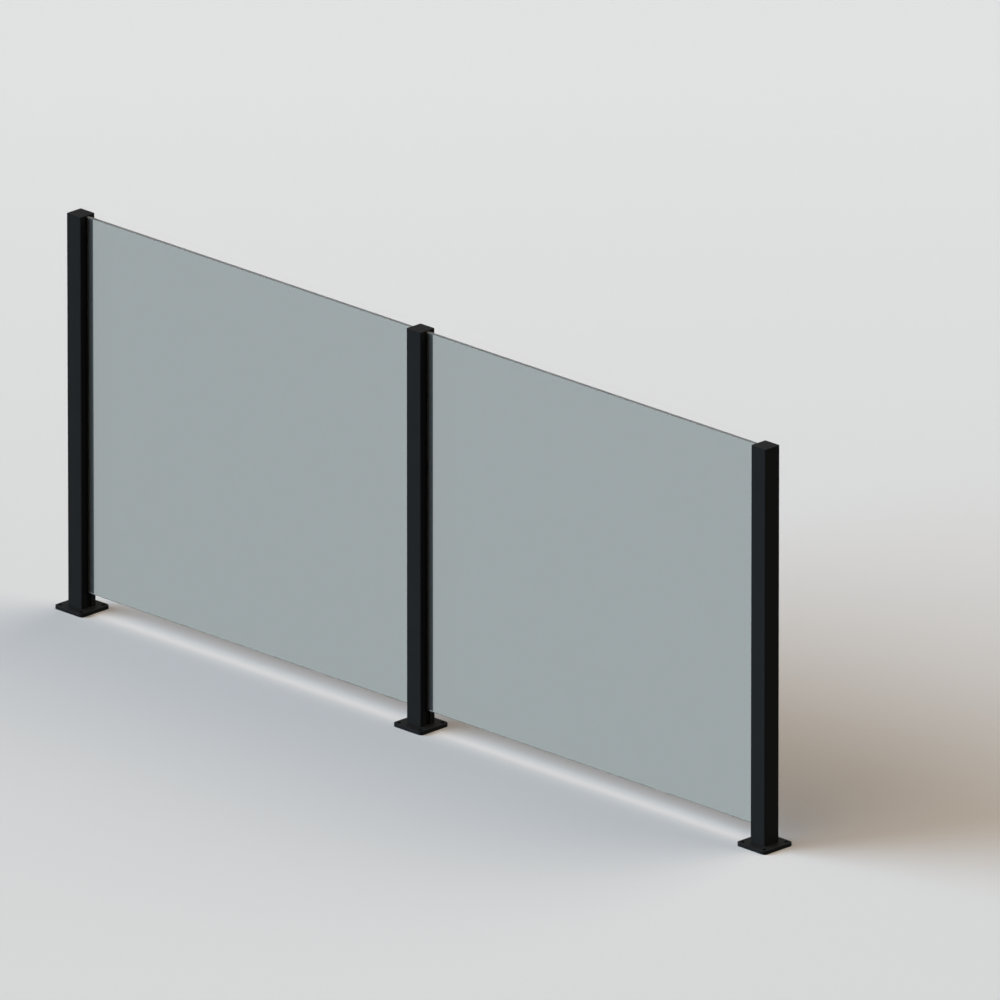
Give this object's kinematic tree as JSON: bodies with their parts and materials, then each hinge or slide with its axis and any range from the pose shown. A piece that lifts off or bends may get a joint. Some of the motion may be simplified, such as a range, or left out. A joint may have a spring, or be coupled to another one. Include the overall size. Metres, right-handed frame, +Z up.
{
  "type": "glass fence panel",
  "caption": "Glass fence of square black channel posts on base plates, with grey tinted panes held in rubber gaskets between them.",
  "frame": {"origin": "centre of the middle post's base plate, on its underside", "axes": "+X along the fence, -Y towards the front, +Z up"},
  "size_m": [2.5, 0.1, 1.05],
  "materials": {
    "powder_coat": "satin",
    "glass": "polished",
    "rubber": "matte"
  },
  "bodies": {
    "root": {"base_plate_left": "powder_coat", "base_plate_middle": "powder_coat", "base_plate_right": "powder_coat", "post_left": "powder_coat", "post_middle": "powder_coat", "post_right": "powder_coat", "cap_left": "powder_coat", "cap_middle": "powder_coat", "cap_right": "powder_coat", "glass_left": "glass", "glass_right": "glass", "gasket_left_outer_front": "rubber", "gasket_left_outer_rear": "rubber", "gasket_left_inner_front": "rubber", "gasket_left_inner_rear": "rubber", "gasket_right_inner_front": "rubber", "gasket_right_inner_rear": "rubber", "gasket_right_outer_front": "rubber", "gasket_right_outer_rear": "rubber", "setting_block_left_outer": "rubber", "setting_block_left_inner": "rubber", "setting_block_right_inner": "rubber", "setting_block_right_outer": "rubber"}
  },
  "joints": []
}
